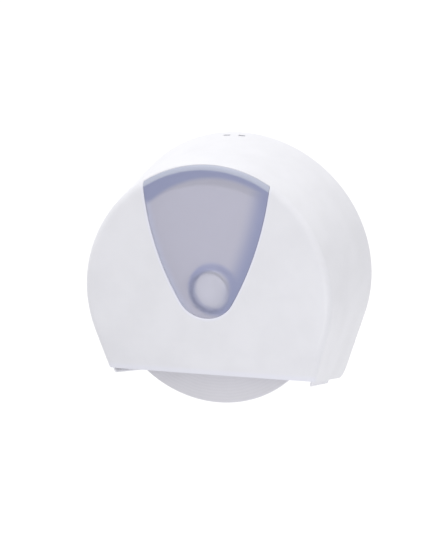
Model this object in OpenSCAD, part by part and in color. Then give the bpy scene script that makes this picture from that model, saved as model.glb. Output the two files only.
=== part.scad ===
// Wall-mounted jumbo toilet roll dispenser. The wall is the plane y = 0, the front faces -Y and +Z is up.
// The origin lies on the wall, on the axis of the spindle that carries the roll.

/* [Cover] */
// Radius of the cover's round outline at the wall
back_r = 138; // [134:1:146]
// Radius of the cover's outline at the front, before its edge is rounded
front_r = 129.5; // [127:0.5:133]
// Height of the outline's centre above the spindle
outline_rise = 2; // [0:0.5:4]
// Depth from the wall to the front, level with the outline's centre
front_depth = 118; // [117:0.5:126]
// Angle by which the front leans back at its top
front_lean = 5; // [4:0.5:6]
// Radius of the front's crown, seen from the side
crown_r = 1000; // [900:50:3000]
// Wall of the cover
cover_wall = 2.5; // [2:0.1:3]
// Radius of the rounded front edge
edge_r = 7; // [5:0.5:9]
// Angle of the lower sides from upright, at the wall
back_taper = 20; // [18:0.5:22]
// Angle of the lower sides from upright, at the front
front_taper = 17; // [15:0.5:19]
// Depth of the front's bottom edge below the spindle
front_drop = 80; // [76:1:84]
// Depth of the sides' bottom edge below the spindle, at the wall
back_drop = 118; // [114:1:124]
// Gap between the cover's rear edge and the wall
wall_gap = 1; // [0.5:0.1:2]

/* [Chin] */
// Radius of the curved crease above the chin
smile_r = 250; // [200:10:400]
// Depth of the crease's lowest point below the spindle
smile_drop = 70; // [60:1:74]
// Slope at which the chin falls back below the crease
chin_slope = 0.1; // [0:0.01:0.15]
// Width over which the crease is rounded
chin_soft = 6; // [2:1:10]

/* [Window] */
// Radius of the window's long side curves
shield_side_r = 300; // [260:10:400]
// Depth of the window's upper corners below the front's crown
shield_corner_in = 23.5; // [20:0.5:27]
// Angle of the window's sides from upright at those corners
shield_splay = 7; // [5:0.5:9]
// Depth of the window's tip below the spindle
shield_drop = 22.2; // [18:0.2:26]
// Distance of the window's upper corners from the front's round outline
shield_side_in = 8.4; // [6:0.2:14]
// How far the window runs back over the top edge, measured from the front
shield_wrap = 9.5; // [8:0.5:13]
// Thickness of the pane
pane_t = 3.2; // [2.8:0.1:3.6]
// How far the pane's face is set back from the cover's
pane_inset = 0.5; // [0.2:0.1:1]
// Gap round the pane
pane_gap = 0.25; // [0.15:0.05:0.5]
// Width of the flange behind the cover
flange_w = 6; // [4:0.5:8]
// Thickness of the flange
flange_t = 1.5; // [1.2:0.1:2]
// How far the flange reaches in behind the pane
flange_lap = 3; // [2:0.5:4]
// Distance of the window's screws from the edge of its opening
window_screw_off = 4.2; // [4:0.2:4.6]
// Depth of the upper window screws below the window's corners
window_screw_top = 14; // [10:1:18]
// Distance from one window screw to the next
window_screw_pitch = 44; // [36:1:46]
// Radius of the window screws' wide heads
window_head_r = 4.4; // [4:0.1:4.8]
// Outer radius of the ring that keeps the roll on its spindle
ring_r = 26.5; // [24:0.5:28]
// Wall of that ring
ring_wall = 2.4; // [1.6:0.2:3]

/* [Roll] */
// Room between the full paper roll and the cover's round outline at the wall
roll_side_room = 24; // [22:1:38]
// Room between the roll and the cover's front, level with the outline's centre
roll_room = 22; // [21.5:0.5:28]
// Distance of the roll from the wall
roll_back = 9.5; // [9:0.5:12]
// Inner radius of the cardboard core
core_r = 30; // [28:0.5:38]
// Thickness of the core
core_t = 1.8; // [1:0.1:2.5]

/* [Spindle] */
// Radius of the fixed spindle post
post_r = 9; // [8:0.5:10]
// Wall of the moulded parts of the hub
hub_wall = 2; // [1.6:0.1:2.4]
// Outer radius of the rotating hub
hub_r = 24.5; // [23:0.5:25.5]
// Radius of the hub's nose
nose_r = 18.7; // [17:0.1:20]
// How far the nose stands in front of the roll
nose_l = 4; // [3:0.5:5]
// Thickness of the hub's cap
cap_t = 1.6; // [1.2:0.1:2]
// Radius of the post's flange
foot_r = 27; // [25:0.5:29]
// Thickness of the post's flange
foot_t = 4; // [3:0.5:5]
// Radius at which the post's screws stand
foot_screw_pcr = 20; // [18:0.5:21]
// Radial running clearance of the hub on its post
run_gap = 0.06; // [0.03:0.01:0.1]
// Wall of the hollow post
post_wall = 3.2; // [2.8:0.1:4]
// Length of the post's solid front end, which the axle screw goes into
post_plug = 18; // [16:1:24]
// Length of the axle screw
axle_screw_l = 12; // [8:1:14]
// Thickness of the washers on the axle
washer_t = 1; // [0.8:0.1:1.2]
// Radius of the retaining washer
washer_r = 14; // [13:0.5:15]

/* [Back plate] */
// Thickness of the back plate
plate_t = 3; // [2.5:0.1:4]
// Depth of its rim
rim_l = 12; // [8:0.5:16]
// Thickness of its rim
rim_t = 2.4; // [2:0.1:3]
// Gap between the rim and the cover
rim_gap = 1.5; // [1.2:0.1:2.5]
// Height of the stiffening ribs above the plate
rib_l = 3; // [2:0.5:4]
// Thickness of a rib
rib_t = 2; // [1.5:0.1:2.5]
// Distance from one round rib to the next
rib_pitch = 30; // [24:1:36]
// Distance of the innermost round rib from the post's foot
rib_in = 8; // [6:1:12]
// Length of the ribs that run outward
spoke_l = 60; // [50:1:70]
// Number of the ribs that run outward
spokes = 12; // [8:1:16]
// Height of the plate's bottom edge above the cover's
plate_up = 4; // [3:0.5:6]
// Gap round the hinge lugs in the plate
lug_room = 5; // [4:0.5:7]
// Radius round the hinge axis in which the plate has no rim
rim_clear_r = 34; // [30:1:38]
// Height above the hinge axis at which the rim ends
rim_end = 14; // [10:1:20]
// Distance of the wall screws, side to side
wall_screw_dx = 150; // [130:2:160]
// Distance of the wall screws, up and down
wall_screw_dz = 110; // [90:2:120]
// Radius of a wall screw's hole
wall_hole_r = 2.75; // [2:0.05:3.5]
// Radius of the recess for a wall screw's head
wall_head_r = 5.5; // [5:0.1:6]
// Wall round that recess
wall_boss_wall = 2.2; // [1.6:0.1:3]

/* [Hinge] */
// Depth of the hinge axis below the spindle
hinge_drop = 106; // [103:0.5:108]
// Distance of the hinge axis from the wall
hinge_y = 9; // [8.5:0.25:10]
// Radius of a hinge pin
pin_r = 3; // [2.5:0.1:3.5]
// Radius of the lugs round the pins
lug_r = 7.5; // [6.5:0.25:8]
// Distance of each hinge ear's inner face from the cover's side
ear_in = 17.5; // [16.5:0.5:20]
// Width of a hinge ear
ear_w = 8.5; // [7:0.5:9.5]
// Gap between an ear and its lug
lug_gap = 0.5; // [0.3:0.1:1]

/* [Latch] */
// Half of the distance between the two key slots
tongue_x = 8; // [7:0.5:10]
// Width of a latch tongue
tongue_w = 6; // [5:0.5:7]
// Thickness of a latch tongue
tongue_t = 2.4; // [2:0.1:3]
// Distance of the tongues from the wall
tongue_y = 10.6; // [10:0.2:12]
// Travel of the latch
latch_travel = 4.5; // [4:0.25:5]
// Gap round the sliding latch
latch_gap = 0.3; // [0.2:0.05:0.4]
// Inner width of the lock housing
lock_w = 34; // [32:1:40]
// Radius of the lock housing's screw ears
lock_ear_r = 5; // [4.5:0.25:6]
// Wall of the lock housing
lock_wall = 2; // [1.6:0.1:2.4]
// Height of the latch's bar
bar_h = 6; // [5:0.5:7]
// Depth of the latch's bar, from front to back
bar_d = 8; // [7:0.5:9]
// Wire radius of the latch spring
wire_r = 0.45; // [0.35:0.05:0.5]
// Mean radius of the latch spring
coil_r = 3; // [2.6:0.1:3.4]
// Number of turns of the latch spring
coil_turns = 5; // [4:1:7]
// Room left between the turns when the latch is pressed
spring_spare = 1; // [0.5:0.1:2]

/* [Tear combs] */
// Length of a tear comb
comb_l = 64; // [50:1:66]
// Thickness of a tear comb
comb_t = 1.8; // [1.4:0.1:2.4]
// How far a comb hangs below the cover's edge
comb_drop = 6.5; // [5:0.5:8]
// How far a comb reaches up inside the cover
comb_up = 12; // [10:0.5:16]
// Pitch of the comb's teeth
tooth_pitch = 3.2; // [2.4:0.2:4]
// Depth of the comb's teeth
tooth_h = 2.2; // [1.6:0.1:2.6]
// Distance of a comb's middle from the cover's front
comb_front_in = 38; // [36:1:42]
// Distance of a comb's screws from its ends
comb_screw_in = 8; // [6:0.5:12]
// Gap between a comb and the cover's wall
comb_gap = 0.5; // [0.3:0.05:0.8]

/* [Small screws] */
// Shank radius of the small screws
screw_r = 1.4; // [1.1:0.1:1.6]
// Head radius of the small screws
screw_head_r = 3; // [2.6:0.1:3.4]
// Head height of the small screws
screw_head_h = 1.7; // [1.3:0.1:2]
// Gap between a screw's shank and its pilot hole
screw_gap = 0.05; // [0.02:0.01:0.1]
// Gap between a screw's shank and the piece that it holds
pass_gap = 0.2; // [0.1:0.05:0.3]
// Wall of the bosses that the small screws go into
boss_wall = 1.1; // [1:0.1:1.4]
// Wall left under a blind pilot hole
blind_wall = 0.8; // [0.6:0.1:1.2]

/* [Hidden] */
$fn = 96;

side_steps = 7;
arc_steps = 26;
edge_steps = 5;
face_columns = 12;
overrun = 12;
play = 0.3;
// Gap between faces that rest on each other.
touch = 0.05;
// How far cutters reach past what they cut, and how far fused shapes reach into each other.
past = 1;
// The front reaches this far beyond its nominal depth at its bottom edge.
front_lip = 4;

rear_y = -wall_gap;
loft_z = -(max(back_drop, hinge_drop + lug_r) + overrun);
roll_w = front_depth - roll_back - roll_room;
roll_r = back_r - roll_side_room;
roll_front = -(roll_back + roll_w);
// The loose core hangs on the hub, so the roll's axis lies below the spindle's.
roll_z = hub_r - core_r + 2 * touch;
foot_front = -(plate_t + foot_t);
hub_rear = foot_front - screw_head_h - play;
nose_front = roll_front - nose_l;
post_front = roll_front + 2.5;
// The window's ring ends before the hub's nose, so the nose turns clear of it.
ring_gap = 1.2;
ring_rear = nose_front - ring_gap;
// Cutters that come from the front start here, ahead of all of it.
front_far = -(front_depth + front_lip + 3 * overrun);
plate_inset = cover_wall + rim_gap;
hinge_z = -hinge_drop;
ear_x = side_half_w(-hinge_y, hinge_z - lug_r) - ear_in;
lug_x = ear_x + ear_w + lug_gap;

// ---------- helpers ----------
function lerp(a, b, t) = a + (b - a) * t;
module along_x(x0, x1) translate([x0, 0, 0]) rotate([90, 0, 90]) linear_extrude(x1 - x0) children();
module along_y(y0, y1) translate([0, y1, 0]) rotate([90, 0, 0]) linear_extrude(y1 - y0) children();
module rod_y(r, y0, y1, x = 0, z = 0) translate([x, y1, z]) rotate([90, 0, 0]) cylinder(h = y1 - y0, r = r);
module rod_x(r, x0, x1, y = 0, z = 0) translate([x0, y, z]) rotate([0, 90, 0]) cylinder(h = x1 - x0, r = r);
module both_sides() {
    children();
    mirror([1, 0, 0]) children();
}

// ---------- the shell's outline and front ----------
// Half of the outline, from its bottom corner up to the crown: a straight tapered side, then an arc.
function side_x(r, taper, z) = r * cos(taper) + (z - outline_rise + r * sin(taper)) * tan(taper);
function outline_half(r, taper, zb) = let(zt = outline_rise - r * sin(taper)) concat(
    [for (i = [0:side_steps - 1]) let(z = lerp(zb, zt, i / side_steps)) [side_x(r, taper, z), z]],
    [for (i = [0:arc_steps]) let(a = lerp(-taper, 90, i / arc_steps))
        [r * cos(a), outline_rise + r * sin(a)]]);
function outline(r, taper, zb) = let(h = outline_half(r, taper, zb))
    concat(h, [for (i = [len(h) - 2:-1:0]) [-h[i][0], h[i][1]]]);

// The front leans back, is crowned, and falls back below the curved crease.
function crease_z(x) = smile_r - smile_drop - sqrt(smile_r * smile_r - x * x);
function soft_ramp(d) = d <= 0 ? 0 : d < chin_soft ? d * d / (2 * chin_soft) : d - chin_soft / 2;
function face_y(x, z) = let(zc = z - outline_rise)
    -front_depth + zc * tan(front_lean) + zc * zc / (2 * crown_r) + chin_slope * soft_ramp(crease_z(x) - z);
function face_slope(z) = atan(tan(front_lean) + (z - outline_rise) / crown_r);

// The shell's solid, inset all round from its outer surface: rear rings, the rounded front edge, the front.
module shell_solid(inset, rear_ys, columns) {
    rho = edge_r - inset;
    rears = [for (y = rear_ys) [for (p = outline(back_r - inset, back_taper, loft_z)) [p[0], y, p[1]]]];
    fronts = [for (k = [0:edge_steps]) let(a = 90 * k / edge_steps)
        [for (p = outline(front_r - edge_r + rho * cos(a), front_taper, loft_z))
            [p[0], face_y(p[0], p[1]) + edge_r - rho * sin(a), p[1]]]];
    rings = concat(rears, fronts);
    n = len(rings[0]);
    h = (n - 1) / 2;
    last = (len(rings) - 1) * n;
    grid = [for (i = [0:h - 1]) for (j = [1:columns - 1])
        let(p = rings[len(rings) - 1][i], x = lerp(p[0], -p[0], j / columns))
        [x, face_y(x, p[2]) + inset, p[2]]];
    base = len(rings) * n;
    function cell(i, j) = i == h ? last + h : j == 0 ? last + i : j == columns ? last + n - 1 - i
        : base + i * (columns - 1) + j - 1;
    points = concat([for (ring = rings) for (p = ring) p], grid);
    bands = [for (k = [0:len(rings) - 2]) for (i = [0:n - 2]) each [
        [k * n + i, (k + 1) * n + i + 1, k * n + i + 1],
        [k * n + i, (k + 1) * n + i, (k + 1) * n + i + 1]]];
    cap = [for (i = [0:h - 1]) for (j = [0:columns - 1]) each (i == h - 1
        ? [[cell(i, j), cell(i, j + 1), last + h]]
        : [[cell(i, j), cell(i + 1, j + 1), cell(i + 1, j)],
            [cell(i, j), cell(i, j + 1), cell(i + 1, j + 1)]])];
    rear_face = [for (i = [0:h - 1]) each (i == h - 1
        ? [[i, h, h + 1]]
        : [[i, i + 1, n - 2 - i], [i, n - 2 - i, n - 1 - i]])];
    foot = [concat(
        [for (k = [0:len(rings) - 1]) k * n + n - 1],
        [for (j = [columns - 1:-1:1]) cell(0, j)],
        [for (k = [len(rings) - 1:-1:0]) k * n])];
    polyhedron(points, concat(bands, cap, rear_face, foot), convexity = 6);
}

// Everything below the cover's bottom edge, which slopes down from the front to the wall. Its rear corner,
// which would strike the wall as the cover swings down, is rounded about the hinge axis.
module below_edge() {
    low_z = hinge_z - hinge_y + wall_gap;
    corner_y = -(front_depth + front_lip) * (low_z + back_drop) / (back_drop - front_drop);
    along_x(-back_r, back_r) difference() {
        polygon([[-front_depth - overrun, -front_drop], [-front_depth - front_lip, -front_drop],
            [corner_y, low_z], [-hinge_y, low_z], [-hinge_y, hinge_z], [overrun, hinge_z + lug_r / 3],
            [overrun, loft_z - overrun], [-front_depth - overrun, loft_z - overrun]]);
        translate([-hinge_y, hinge_z]) circle(r = lug_r);
    }
}

// The half width of the lower sides' outer surface, at a distance from the wall and a height.
function side_half_w(y, z) = let(yf = face_y(front_r - edge_r, z) + edge_r)
    lerp(side_x(back_r, back_taper, z), side_x(front_r, front_taper, z), (rear_y - y) / (rear_y - yf));
function edge_z(y) = lerp(-back_drop, -front_drop, -y / (front_depth + front_lip));

// ---------- window outline ----------
// The tip's radius follows from its depth, because the tip runs smoothly into the side curves.
shield_corner_z = outline_rise + front_r - shield_corner_in;
shield_half_w = sqrt(pow(front_r, 2) - pow(shield_corner_z - outline_rise, 2)) - shield_side_in;
shield_cx = shield_half_w - shield_side_r * cos(shield_splay);
shield_cz = shield_corner_z + shield_side_r * sin(shield_splay);
shield_k = shield_cz + shield_drop;
shield_tip_r = (pow(shield_side_r, 2) - pow(shield_cx, 2) - pow(shield_k, 2))
    / (2 * (shield_side_r - shield_k));
shield_tip_z = shield_tip_r - shield_drop;
shield_tangent = atan2(shield_cz - shield_tip_z, -shield_cx);
module shield(off, top) {
    r = shield_side_r + off;
    a_top = asin((top - shield_cz) / r);
    side = [for (i = [0:18]) let(a = lerp(a_top, -shield_tangent, i / 18))
        [shield_cx + r * cos(a), shield_cz + r * sin(a)]];
    tip = [for (i = [1:8]) let(a = lerp(-shield_tangent, -90, i / 8))
        [(shield_tip_r + off) * cos(a), shield_tip_z + (shield_tip_r + off) * sin(a)]];
    right = concat(side, tip);
    polygon(concat(right, [for (i = [len(right) - 2:-1:0]) [-right[i][0], right[i][1]]]));
}

// ---------- cover ----------
shield_top_z = back_r + outline_rise + overrun;
wrap_y = face_y(0, outline_rise + front_r) + shield_wrap;
key_slot_gap = 0.5;

// Puts its children on the front, at a point of it, with +Z along the inward normal.
module on_face(x, z) translate([x, face_y(x, z), z]) rotate([-90 - face_slope(z), 0, 0]) children();

// The window's screws go through ears of its flange into bosses on the cover.
function shield_half(z) = shield_cx + sqrt(pow(shield_side_r, 2) - pow(z - shield_cz, 2));
window_screws_at = [for (i = [0:2]) let(z = shield_corner_z - window_screw_top - i * window_screw_pitch)
    [shield_half(z) + window_screw_off, z]];
boss_r = screw_r + boss_wall;
module window_screw_places() both_sides()
    for (p = window_screws_at) on_face(p[0], p[1]) children();
// Discs round the screws, where these cross the flange.
module window_screw_discs(r) both_sides() for (p = window_screws_at)
    translate([p[0], p[1] - (cover_wall + flange_t / 2) * sin(face_slope(p[1]))]) circle(r = r);

// Puts its children on the inner wall of the right-hand lower side, at the comb's middle: +X outward, +Z up.
comb_y = front_depth - comb_front_in;
comb_mid_z = edge_z(-comb_y);
comb_slope = atan((front_drop - back_drop) / (front_depth + front_lip));
side_lean = atan(side_half_w(-comb_y, comb_mid_z + 1) - side_half_w(-comb_y, comb_mid_z));
comb_half = comb_l / 2;
side_draft = atan((side_half_w(comb_half - comb_y, comb_mid_z) - side_half_w(-comb_half - comb_y, comb_mid_z))
    / comb_l);
module on_side() translate([side_half_w(-comb_y, comb_mid_z), -comb_y, comb_mid_z])
    rotate([0, side_lean, -side_draft]) translate([-cover_wall, 0, 0]) children();
comb_screw_y = comb_half - comb_screw_in;
module comb_screw_places() for (y = [-comb_screw_y, comb_screw_y])
    on_side() translate([0, y, 0.6 * comb_up + y * tan(comb_slope)]) children();

module hinge_lug() {
    top_z = hinge_z + lug_r;
    low_z = hinge_z - lug_r;
    union() {
        rod_x(lug_r, lug_x, side_half_w(-hinge_y, low_z) - cover_wall / 2, -hinge_y, hinge_z);
        along_y(-hinge_y - lug_r * 0.7, -hinge_y + lug_r * 0.7) polygon([[lug_x + 2, top_z - 2],
            [side_half_w(-hinge_y, top_z) - cover_wall / 2, top_z],
            [side_half_w(-hinge_y, hinge_z) - cover_wall / 2, hinge_z], [lug_x + 2, hinge_z]]);
    }
}

module cover() color("white") difference() {
    union() {
        difference() {
            shell_solid(0, [rear_y], face_columns);
            shell_solid(cover_wall, [rear_y + overrun, rear_y], 2);
            below_edge();
            along_y(front_far, wrap_y) shield(0, shield_top_z);
        }
        both_sides() hinge_lug();
        window_screw_places() translate([0, 0, cover_wall - past])
            cylinder(h = flange_t + past, r = boss_r);
        both_sides() comb_screw_places() rotate([0, -90, 0])
            translate([0, 0, -past]) cylinder(h = comb_gap + comb_t + past + play, r = boss_r);
    }
    both_sides() rod_x(pin_r + run_gap, lug_x - past, pin_end + play, -hinge_y, hinge_z);
    window_screw_places() translate([0, 0, blind_wall])
        cylinder(h = cover_wall + flange_t, r = screw_r + screw_gap);
    both_sides() comb_screw_places() rotate([0, -90, 0]) translate([0, 0, blind_wall - cover_wall])
        cylinder(h = cover_wall + comb_gap + comb_t + past, r = screw_r + screw_gap);
    both_sides() translate([tongue_x - tongue_w / 2 - key_slot_gap, -tongue_y - tongue_t / 2 - key_slot_gap,
        back_r + outline_rise - 3 * cover_wall])
        cube([tongue_w + 2 * key_slot_gap, tongue_t + 2 * key_slot_gap, 6 * cover_wall]);
}

// ---------- window ----------
module window() color([0.62, 0.66, 0.82, 0.7]) {
    union() {
        intersection() {
            difference() {
                shell_solid(pane_inset, [rear_y], 2);
                shell_solid(pane_inset + pane_t, [rear_y + overrun, rear_y], 2);
            }
            along_y(front_far, wrap_y - pane_gap) shield(-pane_gap, shield_top_z);
        }
        intersection() {
            difference() {
                shell_solid(cover_wall + touch, [rear_y], 2);
                shell_solid(cover_wall + flange_t, [rear_y + overrun, rear_y], 2);
            }
            along_y(front_far, wrap_y + flange_w) difference() {
                union() {
                    shield(flange_w, shield_top_z);
                    window_screw_discs(window_head_r + play);
                }
                shield(-flange_lap, shield_top_z - past);
                window_screw_discs(boss_r + play);
            }
        }
        intersection() {
            difference() {
                rod_y(ring_r, front_far, ring_rear);
                rod_y(ring_r - ring_wall, front_far - past, ring_rear + past);
            }
            shell_solid(cover_wall + touch, [rear_y], 2);
        }
    }
}

// A pan-head screw. Its head starts at z = 0 and its shank runs down from there.
module screw(length, head_r = screw_head_r) {
    rim = screw_head_h * 0.6;
    cylinder(h = rim, r = head_r);
    translate([0, 0, rim]) cylinder(h = screw_head_h - rim, r1 = head_r, r2 = head_r * 0.7);
    translate([0, 0, -length]) cylinder(h = length + touch, r = screw_r);
}

module window_screws() color("silver") window_screw_places() translate([0, 0, cover_wall + flange_t + touch])
    screw(cover_wall + flange_t - blind_wall - play, window_head_r);

// ---------- tear combs ----------
module tear_comb() {
    teeth = floor(comb_l / tooth_pitch);
    slope = tan(comb_slope);
    function low(y) = -comb_drop + y * slope;
    profile = concat(
        [for (i = [0:teeth - 1]) each let(y = -teeth * tooth_pitch / 2 + i * tooth_pitch)
            [[y, low(y) + tooth_h], [y + tooth_pitch / 2, low(y + tooth_pitch / 2)]]],
        [let(y = teeth * tooth_pitch / 2) [y, low(y) + tooth_h]],
        [let(y = teeth * tooth_pitch / 2) [y, comb_up + y * slope],
            [-teeth * tooth_pitch / 2, comb_up - teeth * tooth_pitch / 2 * slope]]);
    difference() {
        on_side() along_x(-comb_gap - comb_t, -comb_gap) polygon(profile);
        comb_screw_places() rotate([0, -90, 0]) translate([0, 0, -past])
            cylinder(h = comb_gap + comb_t + 2 * past, r = boss_r + pass_gap);
    }
}
module tear_comb_right() color("gainsboro") tear_comb();
module tear_comb_left() color("gainsboro") mirror([1, 0, 0]) tear_comb();
module comb_screws() color("silver") both_sides() comb_screw_places() rotate([0, -90, 0])
    translate([0, 0, comb_gap + comb_t + play + touch])
        screw(comb_gap + comb_t + cover_wall - blind_wall);

// ---------- back plate ----------
module plate_outline(inset) {
    r = back_r - inset;
    polygon(outline(r, back_taper, -back_drop + plate_up));
}
module hinge_relief(r) both_sides() rod_x(r, lug_x - lug_gap, back_r, -hinge_y, hinge_z);
lug_clear_r = lug_r + lug_room;
rib_r = foot_r + rib_in;
module wall_screw_places() for (x = [-1, 1], z = [-1, 1])
    translate([x * wall_screw_dx / 2, 0, z * wall_screw_dz / 2]) children();
// The lock housing's top lies just inside the rim, and the spring under the bar sets its height.
spring_l = 2 * wire_r * coil_turns + latch_travel + spring_spare;
lock_top = back_r + outline_rise - plate_inset - rim_t - 2;
lock_floor = lock_top - 2 * lock_wall - bar_h - spring_l;
lock_ear_x = lock_w / 2 + lock_wall + lock_ear_r - past;
module lock_screw_places() both_sides() translate([lock_ear_x, 0, lock_floor + lock_ear_r + past]) children();

module back_plate() color("white") difference() {
    union() {
        difference() {
            along_y(-plate_t, 0) plate_outline(plate_inset);
            hinge_relief(lug_clear_r);
        }
        difference() {
            along_y(-rim_l, 0) plate_outline(plate_inset);
            along_y(-rim_l - past, past) plate_outline(plate_inset + rim_t);
            hinge_relief(rim_clear_r);
            translate([-lock_w / 2 - lock_wall - play, -rim_l - past, lock_floor])
                cube([lock_w + 2 * (lock_wall + play), rim_l + past - plate_t, back_r]);
            translate([-back_r, -rim_l - past, loft_z])
                cube([2 * back_r, rim_l + past - plate_t, hinge_z + rim_end - loft_z]);
        }
        for (i = [0:2]) along_y(-plate_t - rib_l, past - plate_t) intersection() {
            difference() {
                circle(r = rib_r + i * rib_pitch + rib_t);
                circle(r = rib_r + i * rib_pitch);
            }
            plate_outline(plate_inset + rim_t / 2);
        }
        for (i = [0:spokes - 1]) rotate([0, 360 * i / spokes, 0])
            translate([rib_r + rib_t / 2, -plate_t - rib_l, -rib_t / 2])
            cube([spoke_l, rib_l + past, rib_t]);
        wall_screw_places() rod_y(wall_head_r + wall_boss_wall, -plate_t - rib_l, -past);
        both_sides() hinge_ear();
    }
    wall_screw_places() rod_y(wall_hole_r, -plate_t - rib_l - past, past);
    wall_screw_places() rod_y(wall_head_r, -plate_t - rib_l - past, -plate_t);
    foot_screw_places() rod_y(screw_r + screw_gap, -plate_t - past, -blind_wall);
    lock_screw_places() rod_y(screw_r + screw_gap, -plate_t - past, -blind_wall);
    both_sides() rod_x(pin_r + touch / 2, ear_x - past, ear_x + ear_w + past, -hinge_y, hinge_z);
}
module hinge_ear() {
    ear_r = lug_r - 0.5;
    rod_x(ear_r, ear_x, ear_x + ear_w, -hinge_y, hinge_z);
    along_x(ear_x, ear_x + ear_w) polygon([[0, hinge_z + 2.2 * ear_r], [-plate_t, hinge_z + 2.2 * ear_r],
        [-hinge_y - 0.6 * ear_r, hinge_z + 0.6 * ear_r], [-hinge_y, hinge_z - ear_r], [0, hinge_z - ear_r]]);
}
module foot_screw_places() for (a = [45:90:315])
    translate([foot_screw_pcr * cos(a), 0, foot_screw_pcr * sin(a)]) children();

// ---------- spindle ----------
module spindle_post() color("whitesmoke") difference() {
    union() {
        rod_y(foot_r, foot_front, -plate_t);
        rod_y(post_r, post_front, -plate_t);
    }
    rod_y(post_r - post_wall, post_front + post_plug, past);
    rod_y(screw_r + screw_gap, post_front - past, post_front + axle_screw_l + past);
    foot_screw_places() rod_y(screw_r + pass_gap, foot_front - past, 0);
}
module spindle_screws() color("silver") foot_screw_places()
    translate([0, foot_front - touch, 0]) rotate([90, 0, 0]) screw(foot_t + plate_t - blind_wall - play);

tube_r = post_r + run_gap + hub_wall;
tube_front = post_front + washer_t + 2 * touch;
bore_r = nose_r - 2 * hub_wall;
module roll_hub() color("whitesmoke") union() {
    difference() {
        rod_y(hub_r, roll_front, hub_rear);
        rod_y(hub_r - hub_wall, roll_front + hub_wall, hub_rear + past);
        rod_y(bore_r, roll_front - past, hub_rear + past);
    }
    difference() {
        rod_y(nose_r, nose_front, roll_front + past);
        rod_y(nose_r - hub_wall, nose_front - past, nose_front + cap_t + play);
        rod_y(bore_r, nose_front - past, roll_front + 2 * past);
    }
    difference() {
        union() {
            rod_y(tube_r, tube_front, hub_rear);
            for (a = [0:60:300]) rotate([0, a, 0])
                translate([tube_r - past, tube_front + past, -hub_wall / 2])
                cube([hub_r - hub_wall - tube_r + 1.5 * past, hub_rear - tube_front - 3 * past, hub_wall]);
        }
        rod_y(post_r + run_gap, roll_front - past, hub_rear + past);
    }
}
module brake_washer() color("firebrick") difference() {
    rod_y(washer_r - 1, post_front, post_front + washer_t);
    rod_y(post_r + 2 * touch, post_front - past, post_front + washer_t + past);
}
module retaining_washer() color("silver") difference() {
    rod_y(washer_r, post_front - washer_t, post_front);
    rod_y(screw_r + pass_gap, post_front - washer_t - past, post_front + past);
}
module axle_screw() color("silver") translate([0, post_front - washer_t - touch, 0]) rotate([90, 0, 0])
    screw(axle_screw_l);
module hub_cap() color("whitesmoke") translate([0, nose_front, 0]) rotate([-90, 0, 0]) rotate_extrude() {
    r = nose_r - hub_wall - touch;
    low = play - touch;
    polygon([[0, low], [r - 1.5 * cap_t, low], [r - 0.5 * cap_t, low + 0.2 * cap_t], [r, low + 0.6 * cap_t],
        [r, low + cap_t], [0, low + cap_t]]);
}

// ---------- roll ----------
module hang() translate([0, 0, roll_z]) children();
module roll_core() color("tan") hang() difference() {
    rod_y(core_r + core_t, roll_front, -roll_back);
    rod_y(core_r, roll_front - past, -roll_back + past);
}
module paper_roll() color("whitesmoke") hang() translate([0, -roll_back, 0]) rotate([90, 0, 0])
    rotate_extrude() {
        soft = 1.2;
        bore = core_r + core_t + 2 * touch;
        polygon([[bore, 0], [roll_r - soft, 0], [roll_r - soft * 0.3, soft * 0.3], [roll_r, soft],
            [roll_r, roll_w - soft], [roll_r - soft * 0.3, roll_w - soft * 0.3], [roll_r - soft, roll_w],
            [bore, roll_w]]);
    }

// ---------- hinge pins ----------
pin_head_t = 2.5;
pin_end = side_half_w(-hinge_y, hinge_z - lug_r) - cover_wall - 2 * play;
module hinge_pin() union() {
    rod_x(pin_r, ear_x - pin_head_t, pin_end, -hinge_y, hinge_z);
    rod_x(pin_r + 2, ear_x - pin_head_t, ear_x - touch, -hinge_y, hinge_z);
}
module hinge_pin_right() color("silver") hinge_pin();
module hinge_pin_left() color("silver") mirror([1, 0, 0]) hinge_pin();

// ---------- latch ----------
lock_front = -(tongue_y + bar_d / 2 + latch_gap);
bar_w = lock_w - 2 * latch_gap;
bar_top = lock_top - lock_wall - touch;
module tongues(gap, z0, z1) both_sides()
    translate([tongue_x - tongue_w / 2 - gap, -tongue_y - tongue_t / 2 - gap, z0])
        cube([tongue_w + 2 * gap, tongue_t + 2 * gap, z1 - z0]);
module lock_housing() color("whitesmoke") difference() {
    union() {
        difference() {
            translate([-lock_w / 2 - lock_wall, lock_front, lock_floor])
                cube([lock_w + 2 * lock_wall, -plate_t - lock_front, lock_top - lock_floor]);
            translate([-lock_w / 2, lock_front - past, lock_floor + lock_wall])
                cube([lock_w, past - plate_t - lock_front - lock_wall, spring_l + bar_h]);
        }
        translate([0, -tongue_y, lock_floor + lock_wall / 2])
            cylinder(h = lock_wall / 2 + spring_l / 3, r = coil_r - wire_r - play);
        lock_screw_places() rod_y(lock_ear_r, -plate_t - lock_wall, -plate_t);
    }
    tongues(latch_gap, lock_top - lock_wall - past, lock_top + past);
    lock_screw_places() rod_y(screw_r + pass_gap, -plate_t - lock_wall - past, 0);
}
module lock_screws() color("silver") lock_screw_places()
    translate([0, -plate_t - lock_wall - touch, 0]) rotate([90, 0, 0])
    screw(lock_wall + plate_t - blind_wall - play);
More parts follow.
